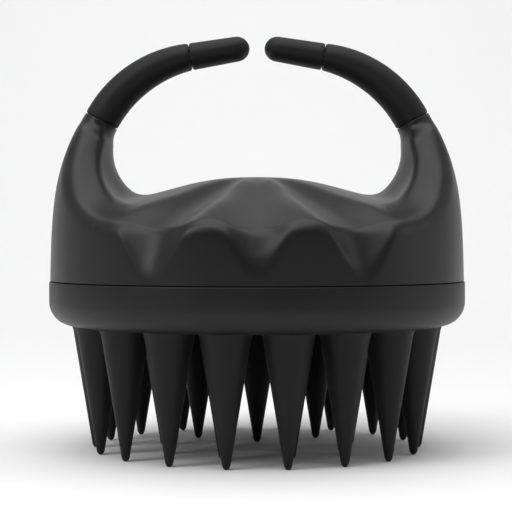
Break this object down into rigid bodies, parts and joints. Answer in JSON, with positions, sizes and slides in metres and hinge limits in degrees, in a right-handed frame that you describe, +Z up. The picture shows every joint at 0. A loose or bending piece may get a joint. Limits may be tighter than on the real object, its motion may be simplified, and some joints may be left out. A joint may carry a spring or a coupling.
{
  "type": "scalp massager brush",
  "caption": "Round handheld scalp massager: soft cone tines under a dimpled dome head, with two curved flexible arms that hold the fingers.",
  "frame": {"origin": "on the surface that the tine tips rest on, under the middle of the round head", "axes": "+Z up from the tine tips to the arms, X across the two arms, -Y the front"},
  "size_m": [0.08, 0.08, 0.0796],
  "materials": {
    "shell_plastic": "satin black moulded",
    "ring_plastic": "satin black moulded",
    "carrier_plastic": "plain black moulded",
    "seal_rubber": "smooth",
    "screw_steel": "zinc plated",
    "bed_silicone": "matte silicone",
    "arm_silicone": "matte silicone",
    "tip_silicone": "matte silicone",
    "spring_steel": "spring strip",
    "tine_silicone": "matte silicone"
  },
  "bodies": {
    "head": {"handle_shell": "shell_plastic", "base_ring": "ring_plastic", "parting_seal": "seal_rubber", "carrier_plate": "carrier_plastic", "carrier_screws": "screw_steel", "bristle_bed": "bed_silicone"},
    "left_arm": {"left_arm_sleeve": "arm_silicone", "left_arm_spine": "spring_steel"},
    "left_tip": {"left_arm_tip": "tip_silicone"},
    "right_arm": {"right_arm_sleeve": "arm_silicone", "right_arm_spine": "spring_steel"},
    "right_tip": {"right_arm_tip": "tip_silicone"},
    "outer_tine_01": {"outer_tine_01": "tine_silicone"},
    "outer_tine_02": {"outer_tine_02": "tine_silicone"},
    "outer_tine_03": {"outer_tine_03": "tine_silicone"},
    "outer_tine_04": {"outer_tine_04": "tine_silicone"},
    "outer_tine_05": {"outer_tine_05": "tine_silicone"},
    "outer_tine_06": {"outer_tine_06": "tine_silicone"},
    "outer_tine_07": {"outer_tine_07": "tine_silicone"},
    "outer_tine_08": {"outer_tine_08": "tine_silicone"},
    "outer_tine_09": {"outer_tine_09": "tine_silicone"},
    "outer_tine_10": {"outer_tine_10": "tine_silicone"},
    "outer_tine_11": {"outer_tine_11": "tine_silicone"},
    "outer_tine_12": {"outer_tine_12": "tine_silicone"},
    "outer_tine_13": {"outer_tine_13": "tine_silicone"},
    "outer_tine_14": {"outer_tine_14": "tine_silicone"},
    "outer_tine_15": {"outer_tine_15": "tine_silicone"},
    "outer_tine_16": {"outer_tine_16": "tine_silicone"},
    "outer_tine_17": {"outer_tine_17": "tine_silicone"},
    "outer_tine_18": {"outer_tine_18": "tine_silicone"},
    "middle_tine_01": {"middle_tine_01": "tine_silicone"},
    "middle_tine_02": {"middle_tine_02": "tine_silicone"},
    "middle_tine_03": {"middle_tine_03": "tine_silicone"},
    "middle_tine_04": {"middle_tine_04": "tine_silicone"},
    "middle_tine_05": {"middle_tine_05": "tine_silicone"},
    "middle_tine_06": {"middle_tine_06": "tine_silicone"},
    "middle_tine_07": {"middle_tine_07": "tine_silicone"},
    "middle_tine_08": {"middle_tine_08": "tine_silicone"},
    "middle_tine_09": {"middle_tine_09": "tine_silicone"},
    "inner_tine_01": {"inner_tine_01": "tine_silicone"},
    "inner_tine_02": {"inner_tine_02": "tine_silicone"},
    "inner_tine_03": {"inner_tine_03": "tine_silicone"}
  },
  "joints": [
    {"name": "left_arm_flex", "type": "hinge", "parent": "head", "child": "left_arm", "pos_m": [-0.03011, 0, 0.06325], "axis": [0, -1, 0], "range_deg": [-5, 15], "stiffness_Nm_per_rad": 0.25, "deforming": ["left_arm_spine"]},
    {"name": "left_tip_flex", "type": "hinge", "parent": "left_arm", "child": "left_tip", "pos_m": [-0.01288, 0, 0.07565], "axis": [0, -1, 0], "range_deg": [-5, 15], "stiffness_Nm_per_rad": 0.12},
    {"name": "right_arm_flex", "type": "hinge", "parent": "head", "child": "right_arm", "pos_m": [0.03011, 0, 0.06325], "axis": [0, 1, 0], "range_deg": [-5, 15], "stiffness_Nm_per_rad": 0.25, "deforming": ["right_arm_spine"]},
    {"name": "right_tip_flex", "type": "hinge", "parent": "right_arm", "child": "right_tip", "pos_m": [0.01288, 0, 0.07565], "axis": [0, 1, 0], "range_deg": [-5, 15], "stiffness_Nm_per_rad": 0.12},
    {"name": "outer_tine_01_flex", "type": "hinge", "parent": "head", "child": "outer_tine_01", "pos_m": [0.00542, -0.03074, 0.022], "axis": [-0.9848, -0.1736, 0], "range_deg": [-10, 10], "stiffness_Nm_per_rad": 0.037},
    {"name": "outer_tine_02_flex", "type": "hinge", "parent": "head", "child": "outer_tine_02", "pos_m": [0.01561, -0.02703, 0.022], "axis": [-0.866, -0.5, 0], "range_deg": [-10, 10], "stiffness_Nm_per_rad": 0.037},
    {"name": "outer_tine_03_flex", "type": "hinge", "parent": "head", "child": "outer_tine_03", "pos_m": [0.02391, -0.02006, 0.022], "axis": [-0.6428, -0.766, 0], "range_deg": [-10, 10], "stiffness_Nm_per_rad": 0.037},
    {"name": "outer_tine_04_flex", "type": "hinge", "parent": "head", "child": "outer_tine_04", "pos_m": [0.02933, -0.01068, 0.022], "axis": [-0.342, -0.9397, 0], "range_deg": [-10, 10], "stiffness_Nm_per_rad": 0.037},
    {"name": "outer_tine_05_flex", "type": "hinge", "parent": "head", "child": "outer_tine_05", "pos_m": [0.03121, 0, 0.022], "axis": [0, -1, 0], "range_deg": [-10, 10], "stiffness_Nm_per_rad": 0.037},
    {"name": "outer_tine_06_flex", "type": "hinge", "parent": "head", "child": "outer_tine_06", "pos_m": [0.02933, 0.01068, 0.022], "axis": [0.342, -0.9397, 0], "range_deg": [-10, 10], "stiffness_Nm_per_rad": 0.037},
    {"name": "outer_tine_07_flex", "type": "hinge", "parent": "head", "child": "outer_tine_07", "pos_m": [0.02391, 0.02006, 0.022], "axis": [0.6428, -0.766, 0], "range_deg": [-10, 10], "stiffness_Nm_per_rad": 0.037},
    {"name": "outer_tine_08_flex", "type": "hinge", "parent": "head", "child": "outer_tine_08", "pos_m": [0.01561, 0.02703, 0.022], "axis": [0.866, -0.5, 0], "range_deg": [-10, 10], "stiffness_Nm_per_rad": 0.037},
    {"name": "outer_tine_09_flex", "type": "hinge", "parent": "head", "child": "outer_tine_09", "pos_m": [0.00542, 0.03074, 0.022], "axis": [0.9848, -0.1736, 0], "range_deg": [-10, 10], "stiffness_Nm_per_rad": 0.037},
    {"name": "outer_tine_10_flex", "type": "hinge", "parent": "head", "child": "outer_tine_10", "pos_m": [-0.00542, 0.03074, 0.022], "axis": [0.9848, 0.1736, 0], "range_deg": [-10, 10], "stiffness_Nm_per_rad": 0.037},
    {"name": "outer_tine_11_flex", "type": "hinge", "parent": "head", "child": "outer_tine_11", "pos_m": [-0.01561, 0.02703, 0.022], "axis": [0.866, 0.5, 0], "range_deg": [-10, 10], "stiffness_Nm_per_rad": 0.037},
    {"name": "outer_tine_12_flex", "type": "hinge", "parent": "head", "child": "outer_tine_12", "pos_m": [-0.02391, 0.02006, 0.022], "axis": [0.6428, 0.766, 0], "range_deg": [-10, 10], "stiffness_Nm_per_rad": 0.037},
    {"name": "outer_tine_13_flex", "type": "hinge", "parent": "head", "child": "outer_tine_13", "pos_m": [-0.02933, 0.01068, 0.022], "axis": [0.342, 0.9397, 0], "range_deg": [-10, 10], "stiffness_Nm_per_rad": 0.037},
    {"name": "outer_tine_14_flex", "type": "hinge", "parent": "head", "child": "outer_tine_14", "pos_m": [-0.03121, 0, 0.022], "axis": [0, 1, 0], "range_deg": [-10, 10], "stiffness_Nm_per_rad": 0.037},
    {"name": "outer_tine_15_flex", "type": "hinge", "parent": "head", "child": "outer_tine_15", "pos_m": [-0.02933, -0.01068, 0.022], "axis": [-0.342, 0.9397, 0], "range_deg": [-10, 10], "stiffness_Nm_per_rad": 0.037},
    {"name": "outer_tine_16_flex", "type": "hinge", "parent": "head", "child": "outer_tine_16", "pos_m": [-0.02391, -0.02006, 0.022], "axis": [-0.6428, 0.766, 0], "range_deg": [-10, 10], "stiffness_Nm_per_rad": 0.037},
    {"name": "outer_tine_17_flex", "type": "hinge", "parent": "head", "child": "outer_tine_17", "pos_m": [-0.01561, -0.02703, 0.022], "axis": [-0.866, 0.5, 0], "range_deg": [-10, 10], "stiffness_Nm_per_rad": 0.037},
    {"name": "outer_tine_18_flex", "type": "hinge", "parent": "head", "child": "outer_tine_18", "pos_m": [-0.00542, -0.03074, 0.022], "axis": [-0.9848, 0.1736, 0], "range_deg": [-10, 10], "stiffness_Nm_per_rad": 0.037},
    {"name": "middle_tine_01_flex", "type": "hinge", "parent": "head", "child": "middle_tine_01", "pos_m": [0.00632, -0.01738, 0.022], "axis": [-0.9397, -0.342, 0], "range_deg": [-10, 10], "stiffness_Nm_per_rad": 0.037},
    {"name": "middle_tine_02_flex", "type": "hinge", "parent": "head", "child": "middle_tine_02", "pos_m": [0.01602, -0.00925, 0.022], "axis": [-0.5, -0.866, 0], "range_deg": [-10, 10], "stiffness_Nm_per_rad": 0.037},
    {"name": "middle_tine_03_flex", "type": "hinge", "parent": "head", "child": "middle_tine_03", "pos_m": [0.01821, 0.00321, 0.022], "axis": [0.1736, -0.9848, 0], "range_deg": [-10, 10], "stiffness_Nm_per_rad": 0.037},
    {"name": "middle_tine_04_flex", "type": "hinge", "parent": "head", "child": "middle_tine_04", "pos_m": [0.01189, 0.01417, 0.022], "axis": [0.766, -0.6428, 0], "range_deg": [-10, 10], "stiffness_Nm_per_rad": 0.037},
    {"name": "middle_tine_05_flex", "type": "hinge", "parent": "head", "child": "middle_tine_05", "pos_m": [0, 0.01849, 0.022], "axis": [1, 0, 0], "range_deg": [-10, 10], "stiffness_Nm_per_rad": 0.037},
    {"name": "middle_tine_06_flex", "type": "hinge", "parent": "head", "child": "middle_tine_06", "pos_m": [-0.01189, 0.01417, 0.022], "axis": [0.766, 0.6428, 0], "range_deg": [-10, 10], "stiffness_Nm_per_rad": 0.037},
    {"name": "middle_tine_07_flex", "type": "hinge", "parent": "head", "child": "middle_tine_07", "pos_m": [-0.01821, 0.00321, 0.022], "axis": [0.1736, 0.9848, 0], "range_deg": [-10, 10], "stiffness_Nm_per_rad": 0.037},
    {"name": "middle_tine_08_flex", "type": "hinge", "parent": "head", "child": "middle_tine_08", "pos_m": [-0.01602, -0.00925, 0.022], "axis": [-0.5, 0.866, 0], "range_deg": [-10, 10], "stiffness_Nm_per_rad": 0.037},
    {"name": "middle_tine_09_flex", "type": "hinge", "parent": "head", "child": "middle_tine_09", "pos_m": [-0.00632, -0.01738, 0.022], "axis": [-0.9397, 0.342, 0], "range_deg": [-10, 10], "stiffness_Nm_per_rad": 0.037},
    {"name": "inner_tine_01_flex", "type": "hinge", "parent": "head", "child": "inner_tine_01", "pos_m": [0.00675, -0.0039, 0.022], "axis": [-0.5, -0.866, 0], "range_deg": [-10, 10], "stiffness_Nm_per_rad": 0.037},
    {"name": "inner_tine_02_flex", "type": "hinge", "parent": "head", "child": "inner_tine_02", "pos_m": [0, 0.00779, 0.022], "axis": [1, 0, 0], "range_deg": [-10, 10], "stiffness_Nm_per_rad": 0.037},
    {"name": "inner_tine_03_flex", "type": "hinge", "parent": "head", "child": "inner_tine_03", "pos_m": [-0.00675, -0.0039, 0.022], "axis": [-0.5, 0.866, 0], "range_deg": [-10, 10], "stiffness_Nm_per_rad": 0.037}
  ]
}
